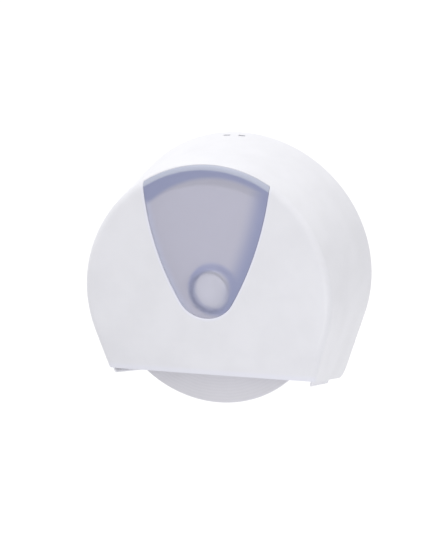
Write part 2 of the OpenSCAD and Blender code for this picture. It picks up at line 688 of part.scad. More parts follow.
// The tongues end inside the cover's wall, out of reach of fingers.
tongue_top = back_r + outline_rise - 0.7 * cover_wall;
module latch_slider() color("orange") union() {
    translate([-bar_w / 2, -tongue_y - bar_d / 2, bar_top - bar_h]) cube([bar_w, bar_d, bar_h]);
    tongues(0, bar_top - past, tongue_top);
}
spring_low = lock_floor + lock_wall + wire_r + touch / 2;
spring_high = bar_top - bar_h - wire_r - touch / 2;
module latch_spring() color("silver") translate([0, -tongue_y, 0]) {
    steps = 16;
    sides = 6;
    n = coil_turns * steps;
    rings = [for (i = [0:n]) let(a = 360 * i / steps, z = lerp(spring_low, spring_high, i / n))
        [for (k = [0:sides - 1]) let(b = 360 * k / sides, r = coil_r + wire_r * cos(b))
            [r * cos(a), r * sin(a), z + wire_r * sin(b)]]];
    polyhedron([for (g = rings) for (p = g) p], concat(
        [[for (k = [0:sides - 1]) k]], [[for (k = [sides - 1:-1:0]) n * sides + k]],
        [for (i = [0:n - 1]) for (k = [0:sides - 1]) let(a = i * sides + k, b = i * sides + (k + 1) % sides)
            each [[a, b + sides, b], [a, a + sides, b + sides]]]), convexity = 10);
}

back_plate();
spindle_post();
spindle_screws();
roll_hub();
brake_washer();
retaining_washer();
axle_screw();
hub_cap();
roll_core();
paper_roll();
cover();
window();
window_screws();
tear_comb_left();
tear_comb_right();
comb_screws();
hinge_pin_left();
hinge_pin_right();
lock_housing();
latch_slider();
latch_spring();
lock_screws();
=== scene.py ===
import math

import bmesh
import bpy
from mathutils import Matrix, Vector


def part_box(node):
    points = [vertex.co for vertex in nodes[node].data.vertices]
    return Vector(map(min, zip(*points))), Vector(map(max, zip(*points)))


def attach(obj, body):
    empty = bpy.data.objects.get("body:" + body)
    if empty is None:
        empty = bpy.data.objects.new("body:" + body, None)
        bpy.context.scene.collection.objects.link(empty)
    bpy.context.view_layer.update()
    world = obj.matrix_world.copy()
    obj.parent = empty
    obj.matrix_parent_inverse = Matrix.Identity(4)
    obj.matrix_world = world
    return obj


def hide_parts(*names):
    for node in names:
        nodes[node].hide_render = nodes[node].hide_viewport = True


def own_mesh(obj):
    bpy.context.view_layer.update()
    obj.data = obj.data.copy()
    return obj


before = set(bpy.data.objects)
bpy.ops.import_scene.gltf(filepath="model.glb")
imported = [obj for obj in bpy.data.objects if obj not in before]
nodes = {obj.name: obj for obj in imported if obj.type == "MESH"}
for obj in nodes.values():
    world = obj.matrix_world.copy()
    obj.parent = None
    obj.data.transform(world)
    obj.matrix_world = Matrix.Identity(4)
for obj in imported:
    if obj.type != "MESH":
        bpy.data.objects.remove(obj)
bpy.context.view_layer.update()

# ---------- Camera ----------
# The dispenser is seen from its front right and a little above, through a long lens.
camera_at = Vector((0.79596, -2.24554, 0.71325))
yaw, pitch, roll = (math.radians(a) for a in (20.12, 16.92, -2.79))
image_h = 550
focal_pixels = 2400
ahead = Vector((-math.sin(yaw) * math.cos(pitch), math.cos(yaw) * math.cos(pitch), -math.sin(pitch)))
level = ahead.cross(Vector((0, 0, 1))).normalized()
upright = level.cross(ahead)
to_right = math.cos(roll) * level + math.sin(roll) * upright
to_top = math.cos(roll) * upright - math.sin(roll) * level
lens = bpy.data.cameras.new("camera")
lens.sensor_width = 36
lens.lens = lens.sensor_width * focal_pixels / image_h
camera = bpy.data.objects.new("camera", lens)
camera.matrix_world = Matrix.Translation(camera_at) @ Matrix((to_right, to_top, -ahead)).transposed().to_4x4()
bpy.context.collection.objects.link(camera)
bpy.context.scene.camera = camera
bpy.context.scene.view_settings.view_transform = "Standard"


# ---------- Light and floor ----------
# Soft light from above and from the front right, in a plain white room with a pale floor.
class Wire:
    """An output of a material's node. Arithmetic on it adds Math nodes."""

    def __init__(self, finish, socket):
        self.finish, self.socket = finish, socket

    def math(self, operation, *values):
        return self.finish.node("Math", {"operation": operation}, dict(enumerate(values)))

    def __add__(self, other):
        return self.math("ADD", self, other)

    def __sub__(self, other):
        return self.math("SUBTRACT", self, other)

    def __rsub__(self, other):
        return self.math("SUBTRACT", other, self)

    def __mul__(self, other):
        return self.math("MULTIPLY", self, other)

    def __truediv__(self, other):
        return self.math("DIVIDE", self, other)

    def __pow__(self, other):
        return self.math("POWER", self, other)

    __radd__ = __add__
    __rmul__ = __mul__

    def rise(self, low, high):
        """0 below low, 1 above high, smooth between; falls instead where low is the larger."""
        return self.finish.node("MapRange", {"interpolation_type": "SMOOTHSTEP"}, {
            "Value": self, "From Min": low, "From Max": high})


class Finish:
    """A procedural material or world. Constants go to the shader's own sockets, varying inputs by set()."""

    def __init__(self, name, world=False, **constants):
        self.data = (bpy.data.worlds if world else bpy.data.materials).new(name)
        self.data.use_nodes = True
        self.tree = self.data.node_tree
        self.shader = self.tree.nodes.get("Principled BSDF")
        self.end = self.tree.nodes["World Output" if world else "Material Output"]
        self.set(**constants)

    def set(self, **inputs):
        for name, value in inputs.items():
            self.plug(self.shader.inputs[name.replace("_", " ")], value)

    def plug(self, socket, value):
        if isinstance(value, Wire):
            self.tree.links.new(value.socket, socket)
        else:
            socket.default_value = value

    def node(self, kind, settings=None, inputs=None, output=0):
        made = self.tree.nodes.new("ShaderNode" + kind)
        for name, value in (settings or {}).items():
            setattr(made, name, value)
        for name, value in (inputs or {}).items():
            self.plug(made.inputs[name], value)
        return Wire(self, made.outputs[output])

    def place(self, centre=(0, 0, 0), scale=(1, 1, 1)):
        """The point's place in the row frame, less a centre, in millimetres times a scale."""
        spot = self.node("TexCoord", output="Object")
        spot = self.node("VectorMath", {"operation": "SUBTRACT"}, {0: spot, 1: centre})
        return self.node("VectorMath", {"operation": "MULTIPLY"}, {0: spot, 1: [1000 * s for s in scale]})

    def axes(self, centre=(0, 0, 0)):
        spot = self.place(centre)
        return [self.node("SeparateXYZ", inputs={0: spot}, output=k) for k in range(3)]

    def noise(self, size, detail=2.0, scale=(1, 1, 1), roughness=0.5):
        """Noise of a size in millimetres."""
        return self.node("TexNoise", inputs={
            "Vector": self.place(scale=scale), "Scale": 1 / size, "Detail": detail, "Roughness": roughness})

    def mix(self, share, low, high):
        return self.node("Mix", {"data_type": "RGBA"}, {0: share, 6: low, 7: high}, output=2)

    def bump(self, height, depth):
        """Height from 0 to 1, times a depth in millimetres."""
        self.set(Normal=self.node("Bump", inputs={"Height": height, "Distance": depth / 1000}))


def srgb(red, green, blue):
    """A colour given by its 0 to 255 screen values."""
    shares = (c / 255 for c in (red, green, blue))
    return [c / 12.92 if c < 0.0404 else ((c + 0.055) / 1.055) ** 2.4 for c in shares] + [1]


def sun(name, direction, strength):
    """A soft lamp far away. A strength of 1 lights a surface that faces it as a white room does."""
    lamp = bpy.data.lights.new(name, "SUN")
    lamp.energy = strength * math.pi
    lamp.angle = math.radians(40)
    holder = bpy.data.objects.new(name, lamp)
    holder.rotation_euler = Vector(direction).to_track_quat("Z", "Y").to_euler()
    bpy.context.collection.objects.link(holder)


def soft_panel(name, place, size, watts):
    """A square soft light at a place, turned to the origin and not seen itself."""
    lamp = bpy.data.lights.new(name, "AREA")
    lamp.energy = watts
    lamp.size = size
    holder = bpy.data.objects.new(name, lamp)
    holder.location = place
    holder.rotation_euler = Vector(place).to_track_quat("Z", "Y").to_euler()
    holder.visible_camera = False
    bpy.context.collection.objects.link(holder)


sun("light_above", direction=(-0.20, 0.0, 1.0), strength=0.42)
soft_panel("light_front_right", place=(0.30, -0.58, -0.12), size=0.35, watts=0.44)


def seen_directly(finish):
    """1 for the camera and for mirror and glass rays, which see the white background."""
    rays = [finish.node("LightPath", output=name)
            for name in ("Is Camera Ray", "Is Glossy Ray", "Is Transmission Ray")]
    return rays[0].math("MAXIMUM", rays[0], rays[1].math("MAXIMUM", rays[1], rays[2]))


white = srgb(255, 255, 255)
room_strength = 0.69
room = Finish("white_room", world=True)
room_dim = room.node("Background", inputs={"Color": white, "Strength": room_strength})
room_white = room.node("Background", inputs={"Color": white, "Strength": 1})
room_seen = room.node("MixShader", inputs={0: seen_directly(room), 1: room_dim, 2: room_white})
room.plug(room.end.inputs["Surface"], room_seen)
bpy.context.scene.world = room.data

floor_z = -0.95
floor_size = 30
floor_bm = bmesh.new()
bmesh.ops.create_grid(floor_bm, x_segments=1, y_segments=1, size=floor_size / 2,
                      matrix=Matrix.Translation((0, 0, floor_z)))
floor_mesh = bpy.data.meshes.new("floor")
floor_bm.to_mesh(floor_mesh)
floor_bm.free()
floor = bpy.data.objects.new("floor", floor_mesh)
bpy.context.collection.objects.link(floor)
pale_floor = Finish("pale_floor", Roughness=0.9)
pale_floor.set(Base_Color=pale_floor.mix(seen_directly(pale_floor), srgb(215, 215, 218), srgb(254, 254, 254)))
floor_mesh.materials.append(pale_floor.data)


# ---------- Back plate ----------
# Flat white moulding that is screwed to the wall and carries everything: its rim, round ribs and spokes
# stiffen it, and its two ears hold the hinge pins. Injection-moulded ABS, a little duller than the cover.
def dress(node, finish):
    """Gives a CAD node its material."""
    slots = nodes[node].data.materials
    slots.clear()
    slots.append(finish.data)


def white_plastic(name, colour, gloss, grain):
    """Moulded white plastic: faint flow clouds in its colour, a fine sparked grain, uneven gloss."""
    finish = Finish(name, Specular_IOR_Level=0.45)
    clouds = finish.noise(34, detail=3)
    shade = [0.965 * c for c in colour[:3]] + [1]
    finish.set(Base_Color=finish.mix(clouds.rise(0.3, 0.7), shade, colour))
    finish.set(Roughness=gloss + 0.08 * finish.noise(6, detail=4))
    finish.bump(finish.noise(0.5, detail=1) + 3 * finish.noise(9, detail=2), grain)
    return finish


plate_white = white_plastic("back_plate_white", srgb(232, 232, 238), 0.42, 0.006)
dress("back_plate", plate_white)

# ---------- Spindle post ----------
# Fixed hollow axle with a round foot, moulded in one in white ABS and held to the plate by four screws. It is
# smooth where the hub runs on it.
post_white = white_plastic("post_white", srgb(226, 227, 232), 0.34, 0.004)
dress("spindle_post", post_white)


# ---------- Screws and washers ----------
# Zinc-plated round-head screws join the mouldings, and a steel washer on the post's end keeps the hub on. The
# hinge pins are plain bright steel, pressed through the plate's ears.
def steel(name, colour, roughness):
    finish = Finish(name, Metallic=1.0)
    streaks = finish.noise(1.2, detail=3, scale=(1, 8, 1))
    finish.set(Base_Color=finish.mix(streaks, [0.82 * c for c in colour[:3]] + [1], colour))
    finish.set(Roughness=roughness + 0.12 * streaks)
    finish.bump(finish.noise(0.8, detail=3), 0.01)
    return finish


zinc = steel("zinc_plated_steel", srgb(196, 200, 206), 0.28)
for name in ("spindle_screws", "axle_screw", "window_screws", "comb_screws", "lock_screws",
             "retaining_washer"):
    dress(name, zinc)
pin_steel = steel("bright_pin_steel", srgb(206, 208, 212), 0.2)
dress("hinge_pin_left", pin_steel)
dress("hinge_pin_right", pin_steel)

# ---------- Brake washer ----------
# Pressed red fibre ring between the steel washer and the hub's inner tube. It rubs on the tube's end, so that
# the roll doesn't run on.
fibre = Finish("red_fibre", Specular_IOR_Level=0.3)
flecks = fibre.noise(0.9, detail=5, roughness=0.7)
fibre.set(Base_Color=fibre.mix(flecks.rise(0.3, 0.7), srgb(112, 30, 26), srgb(158, 52, 42)))
fibre.set(Roughness=0.7 + 0.15 * flecks)
fibre.bump(flecks, 0.05)
dress("brake_washer", fibre)

# ---------- Hub ----------
# Core holder that turns on the post with the roll: a drum with a white nose moulded on, closed by a white
# pressed-in cap. The drum is dark grey as painted shade, for the deep recess round the nose.
nose_white, drum_painted_shade = srgb(244, 244, 247), srgb(92, 97, 118)
hub_white = white_plastic("hub_white", nose_white, 0.32, 0.004)
dress("hub_cap", hub_white)
drum_front_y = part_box("paper_roll")[0].y
hub_tones = white_plastic("hub_white_and_painted_shade", nose_white, 0.36, 0.005)
along = hub_tones.axes()[1]
on_drum = along.rise(1000 * drum_front_y - 0.5, 1000 * drum_front_y - 0.1)
# The drum's dark grey is painted shade for the recess round the nose.
hub_tones.set(Base_Color=hub_tones.mix(on_drum, nose_white, drum_painted_shade))
dress("roll_hub", hub_tones)

# ---------- Roll core ----------
# Spiral-wound grey-brown cardboard tube inside the paper, with a fine seam that runs round it. It hangs on the
# hub's drum, a little below the spindle's axis.
roll_low, roll_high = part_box("paper_roll")
roll_r = (roll_high.z - roll_low.z) / 2
roll_z = roll_high.z - roll_r
seam_pitch = 60
core_board = Finish("core_board", Specular_IOR_Level=0.2)
across, along, height = core_board.axes((0, 0, roll_z))
turn = across.math("ARCTAN2", height, across) / (2 * math.pi)
wound = along / seam_pitch + turn
seam = wound.math("FRACT", wound)
fibres = core_board.noise(0.7, detail=5, scale=(1, 0.3, 1), roughness=0.7)
seam_dark = seam.rise(0.0, 0.02) * seam.rise(1.0, 0.98)
board_tone = core_board.mix(fibres, srgb(182, 176, 168), srgb(204, 199, 192))
core_board.set(Base_Color=core_board.mix(seam_dark, srgb(152, 145, 137), board_tone), Roughness=0.85)
core_board.bump(fibres * 0.4 + seam_dark, 0.12)
dress("roll_core", core_board)

# ---------- Paper roll ----------
# Two-ply tissue wound on the core, softly rounded at its edges. Its end faces show the wound layers as fine
# rings, and its outside is lightly embossed.
core_outer_r = (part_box("roll_core")[1].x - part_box("roll_core")[0].x) / 2
paper_bore_r = core_outer_r + 0.0001
edge_soft = 0.0016
layer_pitch = 0.0022
layer_ridge = 0.00003
sharp_from = math.radians(30)


def new_piece(name, bm, body, slot, finish, *replaced):
    """Makes a piece of a finished bmesh and fixes it to a body. It is smooth but for its sharp edges."""
    mesh = bpy.data.meshes.new(name)
    bm.to_mesh(mesh)
    bm.free()
    mesh.shade_smooth()
    mesh.set_sharp_from_angle(angle=sharp_from)
    mesh.materials.append(finish.data)
    piece = bpy.data.objects.new(name, mesh)
    bpy.context.collection.objects.link(piece)
    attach(piece, body)
    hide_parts(*replaced)
    return piece


def lathe(bm, profile, steps, centre=(0, 0, 0)):
    """Turns a closed profile of (radius, y) points about an axis along Y."""
    verts = [bm.verts.new(Vector(centre) + Vector((r, y, 0))) for r, y in profile]
    edges = [bm.edges.new((verts[k], verts[(k + 1) % len(verts)])) for k in range(len(verts))]
    bmesh.ops.spin(bm, geom=verts + edges, cent=centre, axis=(0, 1, 0), angle=2 * math.pi, steps=steps,
                   use_merge=True)
    bmesh.ops.remove_doubles(bm, verts=bm.verts, dist=1e-6)
    bmesh.ops.recalc_face_normals(bm, faces=bm.faces)


def end_face(y, inward):
    """Points across one end face of the roll, with a ridge for each bundle of layers."""
    count = round((roll_r - edge_soft - paper_bore_r) / layer_pitch)
    points = []
    for k in range(2 * count):
        r = paper_bore_r + (roll_r - edge_soft - paper_bore_r) * k / (2 * count)
        sink = layer_ridge * (k % 2) * (0.6 + 0.4 * math.sin(1.7 * k))
        points.append((r, y + inward * sink))
    return points


def soft_edge(y, inward):
    """A quarter round from the end face out to the roll's surface."""
    return [(roll_r - edge_soft * (1 - math.sin(a)), y + inward * edge_soft * (1 - math.cos(a)))
            for a in (math.radians(15 * k) for k in range(7))]


roll_bm = bmesh.new()
front_half = end_face(roll_low.y, 1) + soft_edge(roll_low.y, 1)
back_half = end_face(roll_high.y, -1) + soft_edge(roll_high.y, -1)
lathe(roll_bm, front_half + back_half[::-1], steps=180, centre=(0, 0, roll_z))
tissue = Finish("tissue_paper", Specular_IOR_Level=0.15, Sheen_Weight=0.25, Sheen_Roughness=0.6)
across, _, height = tissue.axes((0, 0, roll_z))
radius = (across * across + height * height) ** 0.5
wander = tissue.noise(14, detail=3)
wide_wave = (radius + 2.2 * wander) * 1.9
fine_wave = radius * 7 + 2 * wander
rings, fine_rings = wide_wave.math("SINE", wide_wave), fine_wave.math("SINE", fine_wave)
on_side = radius.rise(roll_r * 1000 - 1.2, roll_r * 1000 - 0.4)
layers = (1 - on_side) * (0.5 + 0.32 * rings + 0.18 * fine_rings)
emboss = tissue.node("TexVoronoi", inputs={"Vector": tissue.place(), "Scale": 0.45})
fluff = tissue.noise(0.35, detail=4, roughness=0.7)
paper_low = tissue.mix(wander, srgb(224, 223, 229), srgb(230, 229, 235))
paper_lit = layers * 0.25 + on_side * (0.6 + 0.4 * emboss)
tissue.set(Base_Color=tissue.mix(paper_lit, paper_low, srgb(242, 241, 246)))
tissue.set(Roughness=0.85 + 0.1 * fluff)
tissue.bump(layers * 0.3 + on_side * emboss + 0.6 * fluff, 0.08)
new_piece("paper_roll_wound", roll_bm, "roll_unit", "tissue", tissue, "paper_roll")

# ---------- Cover ----------
# One deep white ABS moulding: a crowned front that leans back, a rounded edge, and sides that widen and
# taper towards the wall. A curved crease sets off the chin, and the shield opening takes the window.
cover_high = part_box("cover")[1]
back_r = cover_high.x
rise = cover_high.z - back_r
rear_y = cover_high.y
front_r = 0.1295
front_y = -0.11785
front_lean = math.tan(math.radians(5))
crown_r = 1.0
cover_wall = 0.0025
edge_r = 0.007
back_taper, front_taper = math.radians(20), math.radians(17)
front_foot = (-0.122, -0.080)
back_foot = (0.0, -0.1179)
loft_z = -0.130
pin_low, pin_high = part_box("hinge_pin_right")
hinge_y, hinge_z = -0.009, (pin_low.z + pin_high.z) / 2
lug_r = 0.0075
smile_r, smile_low = 0.250, -0.070
chin_slope, chin_soft = 0.10, 0.006
inner_r = front_r - edge_r
edge_length = edge_r * math.pi / 2
side_length = 0.105


def face_y(x, z):
    """The front surface: it leans back, is crowned, and falls back below the chin's crease."""
    below = smile_r + smile_low - math.sqrt(smile_r ** 2 - x * x) - z
    ramp = 0 if below <= 0 else below ** 2 / (2 * chin_soft) if below < chin_soft else below - chin_soft / 2
    up = z - rise
    return front_y + up * front_lean + up * up / (2 * crown_r) + chin_slope * ramp


def ring_point(r, taper, share, on_arc):
    """A point of the round outline of a radius, whose sides run straight below a taper angle."""
    if on_arc:
        angle = -taper + (math.pi / 2 + taper) * share
        return r * math.cos(angle), rise + r * math.sin(angle)
    z = loft_z + (rise - r * math.sin(taper) - loft_z) * share
    return r * math.cos(taper) + (z - rise + r * math.sin(taper)) * math.tan(taper), z


def unrolled(x, z):
    """A point of the unrolled cover as its distance out from the flat front and its share of the ring."""
    x = abs(x)
    angle = math.atan2(z - rise, x)
    if angle >= -front_taper:
        return math.hypot(x, z - rise) - inner_r, (angle + front_taper) / (math.pi / 2 + front_taper), True
    r = x * math.cos(front_taper) - (z - rise) * math.sin(front_taper)
    return r - inner_r, (z - loft_z) / (rise - r * math.sin(front_taper) - loft_z), False


def skin(x, z):
    """The cover's outer surface, from its unrolled plan: front, rounded edge, then the side to the wall."""
    out, share, on_arc = unrolled(x, z)
    if out <= 0:
        return Vector((x, face_y(x, z), z))
    turned = max(0.0, math.pi / 2 - out / edge_r)
    near_x, near_z = ring_point(inner_r + edge_r * math.cos(turned), front_taper, share, on_arc)
    near_y = face_y(near_x, near_z) + edge_r * (1 - math.sin(turned))
    far_x, far_z = ring_point(back_r, back_taper, share, on_arc)
    back = max(0.0, out - edge_length) / side_length
    spot = Vector((near_x, near_y, near_z)).lerp(Vector((far_x, rear_y, far_z)), back)
    spot.x = math.copysign(spot.x, x)
    return spot


def under_skin(x, z, depth):
    """A point below the cover's surface, along its normal."""
    step = 0.0003
    slope_x = skin(x + step, z) - skin(x - step, z)
    slope_z = skin(x, z + step) - skin(x, z - step)
    return skin(x, z) - slope_x.cross(slope_z).normalized() * depth


# The shield opening: a round tip, long curved sides, and a top that is wrapped back over the edge.
shield_side_r = 0.300
shield_splay = math.radians(7)
shield_drop = 0.0222
corner_down, corner_in = 0.0235, 0.0084
shield_corner_z = rise + front_r - corner_down
shield_half_w = math.sqrt(front_r ** 2 - (shield_corner_z - rise) ** 2) - corner_in
shield_x = shield_half_w - shield_side_r * math.cos(shield_splay)
shield_z = shield_corner_z + shield_side_r * math.sin(shield_splay)
shield_k = shield_z + shield_drop
tip_r = (shield_side_r ** 2 - shield_x ** 2 - shield_k ** 2) / (2 * (shield_side_r - shield_k))
tip_z = tip_r - shield_drop
tip_turn = math.atan2(shield_z - tip_z, -shield_x)
top_out = 0.0064


def shield_half(z, off):
    """Half the shield's width at a height, for an outline that is moved out by off."""
    return shield_x + math.sqrt((shield_side_r + off) ** 2 - (z - shield_z) ** 2)


def on_ring(angle, out):
    """A point of the unrolled plan, by its angle and its distance out from the flat front."""
    return Vector(((inner_r + out) * math.cos(angle), rise + (inner_r + out) * math.sin(angle)))


def side_angle(out, off):
    """The angle at which the shield's side crosses a ring of the unrolled plan."""
    low, high = math.radians(45), math.radians(80)
    halvings = 40
    for _ in range(halvings):
        middle = (low + high) / 2
        spot = skin(*on_ring(middle, out))
        low, high = (middle, high) if spot.x > shield_half(spot.z, off) else (low, middle)
    return low


def shield_loop(off):
    """The right half of the shield's outline in the unrolled plan, as a function of 0 to 4: tip, side, over
    the edge, and along the top."""
    corner_out = top_out + off
    corner_angle = side_angle(corner_out, off)
    crossing = on_ring(side_angle(0, off), 0)
    side_top = math.asin((crossing.y - shield_z) / (shield_side_r + off))

    def at(q):
        if q <= 1:
            turn = -math.pi / 2 + (math.pi / 2 - tip_turn) * q
            return Vector(((tip_r + off) * math.cos(turn), tip_z + (tip_r + off) * math.sin(turn)))
        if q <= 2:
            turn = -tip_turn + (side_top + tip_turn) * (q - 1)
            return Vector((shield_x + (shield_side_r + off) * math.cos(turn),
                           shield_z + (shield_side_r + off) * math.sin(turn)))
        if q <= 3:
            out = corner_out * (q - 2)
            return on_ring(side_angle(out, off), out)
        return on_ring(corner_angle + (math.pi / 2 - corner_angle) * (q - 3), corner_out)
    return at


def patch(bm, columns, rows, place):
    """A grid of quads, each of whose corners place(column, row) puts on the surface."""
    for vert in bmesh.ops.create_grid(bm, x_segments=columns, y_segments=rows, size=0.5)["verts"]:
        vert.co = place(round((vert.co.x + 0.5) * columns), round((vert.co.y + 0.5) * rows))


def spread(counts):
    """Even steps of 0 to 4 along a shield loop, with so many in each of its four stretches."""
    return [k + i / n for k, n in enumerate(counts) for i in range(n)] + [4.0]


def both_halves(bm):
    """Mirrors the right half, joins the two, and turns all faces outward."""
    bmesh.ops.mirror(bm, geom=bm.verts[:] + bm.edges[:] + bm.faces[:], axis="X", merge_dist=1e-6)
    bmesh.ops.remove_doubles(bm, verts=bm.verts, dist=2e-6)
    bmesh.ops.recalc_face_normals(bm, faces=bm.faces)
    foremost = min(bm.faces, key=lambda face: face.calc_center_median().y)
    if foremost.normal.y > 0:
        bmesh.ops.reverse_faces(bm, faces=bm.faces)


# Each column of the cover's mesh runs from the shield's edge out to the wall, or to below the bottom edge.
lip_r = 0.0009
lip_rows = [0.0, 0.05, 0.2, 0.45, 0.75, 1.0]
body_rows = 80
fine_share = 0.7
probes = 60
past_edge_room = 0.003
outer_r = inner_r + edge_length + side_length
foot_x = outer_r / math.cos(front_taper) + (loft_z - rise) * math.tan(front_taper)
side_foot = rise - outer_r * math.sin(front_taper)


def rim_path(distance):
    """A point along the unrolled plan's border: out along the bottom, up the side, round to the crown."""
    side_l = (side_foot - loft_z) / math.cos(front_taper)
    if distance <= foot_x:
        return Vector((distance, loft_z))
    if distance <= foot_x + side_l:
        up = (distance - foot_x) * math.cos(front_taper)
        return Vector((foot_x + up * math.tan(front_taper), loft_z + up))
    angle = (distance - foot_x - side_l) / outer_r - front_taper
    return Vector((outer_r * math.cos(angle), rise + outer_r * math.sin(angle)))


def rim_distance(angle):
    """How far along the border an angle of its round part lies."""
    return foot_x + (side_foot - loft_z) / math.cos(front_taper) + (angle + front_taper) * outer_r


shield_at = shield_loop(0)
rim_stops = [0.0, 0.085] + [rim_distance(math.radians(angle)) for angle in (30, 52, 90)]
column_starts = []
for q in spread((24, 86, 14, 30)):
    stretch = min(int(q), 3)
    target = rim_path(rim_stops[stretch] + (rim_stops[stretch + 1] - rim_stops[stretch]) * (q - stretch))
    start = shield_at(q)
    whole = (target - start).length
    heading = (target - start) / whole
    past_edge = next((d for d in (whole * k / probes for k in range(probes + 1))
                      if unrolled(*(start + heading * d))[0] > edge_length + past_edge_room), whole)
    fine = min(max(past_edge, 0.35 * whole), 0.75 * whole)
    column_starts.append((start, heading, fine, whole))


def cover_point(column, row):
    """Row by row from the shield's rounded lip to the border, with finer rows until past the rounded edge."""
    start, heading, fine, whole = column_starts[column]
    if row < len(lip_rows):
        gone = lip_rows[row] * lip_r
    else:
        step = (row - len(lip_rows) + 1) / body_rows
        gone = (lip_r + (fine - lip_r) * step / fine_share if step < fine_share
                else fine + (whole - fine) * (step - fine_share) / (1 - fine_share))
    left = max(0.0, lip_r - gone)
    sink = lip_r - math.sqrt(lip_r ** 2 - left ** 2)
    return under_skin(*(start + heading * gone), sink)


cover_bm = bmesh.new()
patch(cover_bm, len(column_starts) - 1, len(lip_rows) - 1 + body_rows, cover_point)
both_halves(cover_bm)
foot_slope = Vector((0, back_foot[0] - front_foot[0], back_foot[1] - front_foot[1])).normalized()
cuts = [(Vector((0, *front_foot)), Vector((0, foot_slope.z, -foot_slope.y)))]
for turn in (math.radians(15 * k) for k in range(-6, 0)):
    away = Vector((0, math.cos(turn), math.sin(turn)))
    cuts.append((Vector((0, hinge_y, hinge_z)) + away * lug_r, away))
for spot, away in cuts:
    bmesh.ops.bisect_plane(cover_bm, geom=cover_bm.verts[:] + cover_bm.edges[:] + cover_bm.faces[:],
                           plane_co=spot, plane_no=away, clear_outer=True)
bmesh.ops.remove_doubles(cover_bm, verts=cover_bm.verts, dist=2e-5)
bmesh.ops.solidify(cover_bm, geom=cover_bm.faces[:], thickness=cover_wall)

cover_white = white_plastic("cover_white", srgb(240, 240, 245), 0.3, 0.004)


def shield_distance(finish):
    """How far out of the shield's sides and tip a point of the front is, in millimetres."""
    across, _, height = finish.axes()
    aside = across.math("ABSOLUTE", across) - 1000 * shield_x
    side_off = (aside ** 2 + (height - 1000 * shield_z) ** 2) ** 0.5 - 1000 * shield_side_r
    tip_off = (across ** 2 + (height - 1000 * tip_z) ** 2) ** 0.5 - 1000 * tip_r
    tangent_z = 1000 * (tip_z - tip_r * math.sin(tip_turn))
    return side_off + height.rise(tangent_z + 0.5, tangent_z - 0.5) * (tip_off - side_off)


# The lip round the window and the foot's front edge are a touch bluer than the rest: a painted bluish glow.
lip_off = shield_distance(cover_white)
shield_corner = 1000 * shield_corner_z
_, along, height = cover_white.axes()
lip_painted_glow = (lip_off.rise(3.4, 1.2) * lip_off.rise(-2.0, -0.8)
            * height.rise(shield_corner + 4, shield_corner - 2))
foot_off = (height - 1000 * front_foot[1]) * foot_slope.y - (along - 1000 * front_foot[0]) * foot_slope.z
foot_painted_glow = foot_off.rise(7.0, 2.0) * along.rise(-108, -116)
edge_painted_glow = lip_painted_glow.math("MAXIMUM", lip_painted_glow * 0.6, foot_painted_glow * 0.5)
plain_tone = Wire(cover_white, cover_white.shader.inputs["Base Color"].links[0].from_socket)
# Painted bluish glow mixed into the cover's white.
cover_white.set(Base_Color=cover_white.mix(edge_painted_glow, plain_tone, srgb(240, 241, 254)))
cover_piece = new_piece("cover_shell", cover_bm, "cover_unit", "white_abs", cover_white, "cover")


def rod(bm, start, end, radius, steps=48):
    """A round bar between two points."""
    start, end = Vector(start), Vector(end)
    turned = (end - start).to_track_quat("Z", "Y").to_matrix().to_4x4()
    bmesh.ops.create_cone(bm, cap_ends=True, segments=steps, radius1=radius, radius2=radius,
                          depth=(end - start).length, matrix=Matrix.Translation((start + end) / 2) @ turned)


def block(bm, low, high):
    """A box between two corners."""
    low, high = Vector(low), Vector(high)
    bmesh.ops.create_cube(bm, size=1, matrix=Matrix.Translation((low + high) / 2) @ Matrix.Diagonal(
        (*(high - low), 1)))


def carve(piece, bm, operation):
    """Adds a bmesh's solids to a piece, or cuts them out of it."""
    mesh = bpy.data.meshes.new("tool")
    bm.to_mesh(mesh)
    bm.free()
    tool = bpy.data.objects.new("tool", mesh)
    bpy.context.collection.objects.link(tool)
    step = piece.modifiers.new("carve", "BOOLEAN")
    step.operation, step.solver, step.object = operation, "MANIFOLD", tool
    done = bpy.data.meshes.new_from_object(piece.evaluated_get(bpy.context.evaluated_depsgraph_get()))
    piece.modifiers.clear()
    old, name = piece.data, piece.data.name
    piece.data = done
    bpy.data.meshes.remove(old)
    done.name = name
    bpy.data.objects.remove(tool)
    bpy.data.meshes.remove(mesh)
    done.shade_smooth()
    done.set_sharp_from_angle(angle=sharp_from)


def side_half_w(y, z):
    """The half width of the lower sides' outer surface, at a depth and a height."""
    def side_x(r, taper):
        return r * math.cos(taper) + (z - rise + r * math.sin(taper)) * math.tan(taper)
    front = face_y(inner_r, z) + edge_r
    share = (rear_y - y) / (rear_y - front)
    return side_x(back_r, back_taper) * (1 - share) + side_x(front_r, front_taper) * share


# Inside it are two hinge lugs, six bosses for the window's screws and four for the combs'. The key slots go
# through its top, over the latch's tongues.
pin_r, pin_head_t, pin_play, pin_end_room = 0.003, 0.0025, 0.00006, 0.0003
ear_w, lug_gap = 0.0085, 0.0005
lug_x = pin_low.x + pin_head_t + ear_w + lug_gap
slot_x, slot_y, slot_z = (0.0045, 0.0115), (-0.0123, -0.0089), cover_high.z
slot_reach = 0.0075
past = 0.001
boss_r, pilot_r, blind_wall = 0.0025, 0.00145, 0.0008
boss_start, bore_end = 0.0015, 0.006
flange_t = 0.0015
screw_off, screw_top, screw_pitch = 0.0042, 0.014, 0.044
window_screws_at = [(shield_half(z, 0) + screw_off, z)
                    for z in (shield_corner_z - screw_top - k * screw_pitch for k in range(3))]
comb_y, comb_l, comb_up, comb_screw_in = -0.080, 0.064, 0.012, 0.008
comb_boss_start, comb_boss_end, comb_bore_end = 0.001, -0.0026, -0.004
comb_mid_z = back_foot[1] + (front_foot[1] - back_foot[1]) * comb_y / front_foot[0]
comb_slope = (front_foot[1] - back_foot[1]) / -front_foot[0]
up_step, along_step = 0.001, 0.01
comb_lean = math.atan(
    (side_half_w(comb_y, comb_mid_z + up_step) - side_half_w(comb_y, comb_mid_z)) / up_step)
